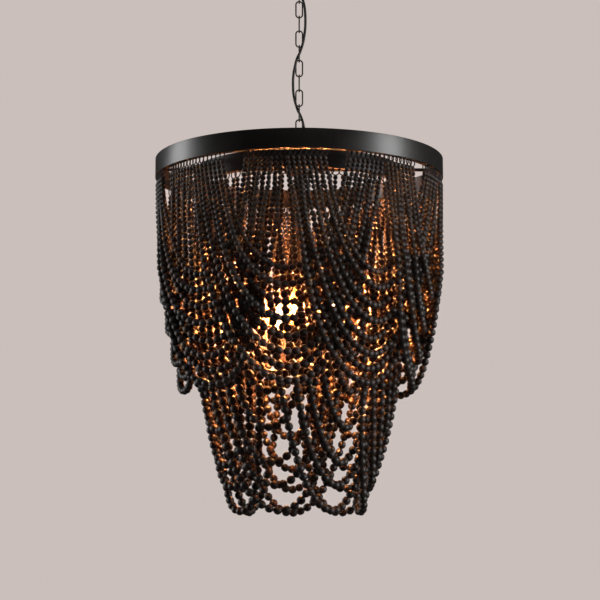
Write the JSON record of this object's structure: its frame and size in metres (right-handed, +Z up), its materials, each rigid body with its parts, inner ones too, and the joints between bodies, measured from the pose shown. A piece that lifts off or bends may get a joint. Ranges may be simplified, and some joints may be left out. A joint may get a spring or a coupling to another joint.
{
  "type": "beaded chandelier",
  "caption": "Two concentric hoops draped with graded strings of beads round a cluster of candle lamps, hung from a ceiling canopy by a link chain with the flex laced through it.",
  "frame": {"origin": "middle of the ceiling bracket's top face, on the ceiling plane", "axes": "+Z up into the ceiling, -Y towards the front, +X to the right seen from the front"},
  "size_m": [0.6027, 0.602, 1.1726],
  "materials": {
    "black_metal": "satin",
    "plated_steel": "satin",
    "black_plastic": "matt",
    "flex": "matt",
    "beads": "dark stained, low sheen",
    "lamp_glass": "clear, warm filament"
  },
  "bodies": {
    "ceiling_fixing": {"ceiling_bracket": "plated_steel", "threaded_nipple": "plated_steel", "canopy": "black_metal", "cord_grommet": "black_plastic", "canopy_loop": "black_metal", "power_cord": "flex"},
    "link_01": {"chain_link_01": "black_metal"},
    "link_02": {"chain_link_02": "black_metal"},
    "link_03": {"chain_link_03": "black_metal"},
    "link_04": {"chain_link_04": "black_metal"},
    "link_05": {"chain_link_05": "black_metal"},
    "link_06": {"chain_link_06": "black_metal"},
    "link_07": {"chain_link_07": "black_metal"},
    "link_08": {"chain_link_08": "black_metal"},
    "link_09": {"chain_link_09": "black_metal"},
    "link_10": {"chain_link_10": "black_metal"},
    "link_11": {"chain_link_11": "black_metal"},
    "shade": {"hanging_eye": "black_metal", "stem": "black_metal", "wiring_hub": "black_metal", "cord_gland": "black_plastic", "spoke_1": "black_metal", "spoke_2": "black_metal", "spoke_3": "black_metal", "spoke_4": "black_metal", "outer_hoop": "black_metal", "inner_hoop": "black_metal", "lamp_hub": "black_metal", "finial": "black_metal", "lamp_arm_1": "black_metal", "lamp_arm_2": "black_metal", "lamp_arm_3": "black_metal", "lamp_arm_4": "black_metal", "lamp_arm_5": "black_metal", "candle_sleeve_1": "black_metal", "candle_sleeve_2": "black_metal", "candle_sleeve_3": "black_metal", "candle_sleeve_4": "black_metal", "candle_sleeve_5": "black_metal", "bulb_1": "lamp_glass", "bulb_2": "lamp_glass", "bulb_3": "lamp_glass", "bulb_4": "lamp_glass", "bulb_5": "lamp_glass", "upper_swag_01": "beads", "upper_swag_02": "beads", "upper_swag_03": "beads", "upper_swag_04": "beads", "upper_swag_05": "beads", "upper_swag_06": "beads", "upper_swag_07": "beads", "upper_swag_08": "beads", "upper_swag_09": "beads", "lower_swag_01": "beads", "lower_swag_02": "beads", "lower_swag_03": "beads", "lower_swag_04": "beads", "lower_swag_05": "beads", "lower_swag_06": "beads", "lower_swag_07": "beads"}
  },
  "joints": [
    {"name": "link_01_swing", "type": "hinge", "parent": "ceiling_fixing", "child": "link_01", "pos_m": [0, 0, -0.0593], "axis": [1, 0, 0], "range_deg": [-10, 10], "deforming": ["power_cord"]},
    {"name": "link_02_swing", "type": "hinge", "parent": "link_01", "child": "link_02", "pos_m": [0, 0, -0.0909], "axis": [0, 1, 0], "range_deg": [-10, 10], "deforming": ["power_cord"]},
    {"name": "link_03_swing", "type": "hinge", "parent": "link_02", "child": "link_03", "pos_m": [0, 0, -0.123], "axis": [1, 0, 0], "range_deg": [-10, 10], "deforming": ["power_cord"]},
    {"name": "link_04_swing", "type": "hinge", "parent": "link_03", "child": "link_04", "pos_m": [0, 0, -0.1551], "axis": [0, 1, 0], "range_deg": [-10, 10], "deforming": ["power_cord"]},
    {"name": "link_05_swing", "type": "hinge", "parent": "link_04", "child": "link_05", "pos_m": [0, 0, -0.1872], "axis": [1, 0, 0], "range_deg": [-10, 10], "deforming": ["power_cord"]},
    {"name": "link_06_swing", "type": "hinge", "parent": "link_05", "child": "link_06", "pos_m": [0, 0, -0.2193], "axis": [0, 1, 0], "range_deg": [-10, 10], "deforming": ["power_cord"]},
    {"name": "link_07_swing", "type": "hinge", "parent": "link_06", "child": "link_07", "pos_m": [0, 0, -0.2514], "axis": [1, 0, 0], "range_deg": [-10, 10], "deforming": ["power_cord"]},
    {"name": "link_08_swing", "type": "hinge", "parent": "link_07", "child": "link_08", "pos_m": [0, 0, -0.2835], "axis": [0, 1, 0], "range_deg": [-10, 10], "deforming": ["power_cord"]},
    {"name": "link_09_swing", "type": "hinge", "parent": "link_08", "child": "link_09", "pos_m": [0, 0, -0.3156], "axis": [1, 0, 0], "range_deg": [-10, 10], "deforming": ["power_cord"]},
    {"name": "link_10_swing", "type": "hinge", "parent": "link_09", "child": "link_10", "pos_m": [0, 0, -0.3477], "axis": [0, 1, 0], "range_deg": [-10, 10], "deforming": ["power_cord"]},
    {"name": "link_11_swing", "type": "hinge", "parent": "link_10", "child": "link_11", "pos_m": [0, 0, -0.3798], "axis": [1, 0, 0], "range_deg": [-10, 10], "deforming": ["power_cord"]},
    {"name": "shade_swing", "type": "hinge", "parent": "link_11", "child": "shade", "pos_m": [0, 0, -0.4119], "axis": [0, 1, 0], "range_deg": [-10, 10], "deforming": ["power_cord"]}
  ]
}
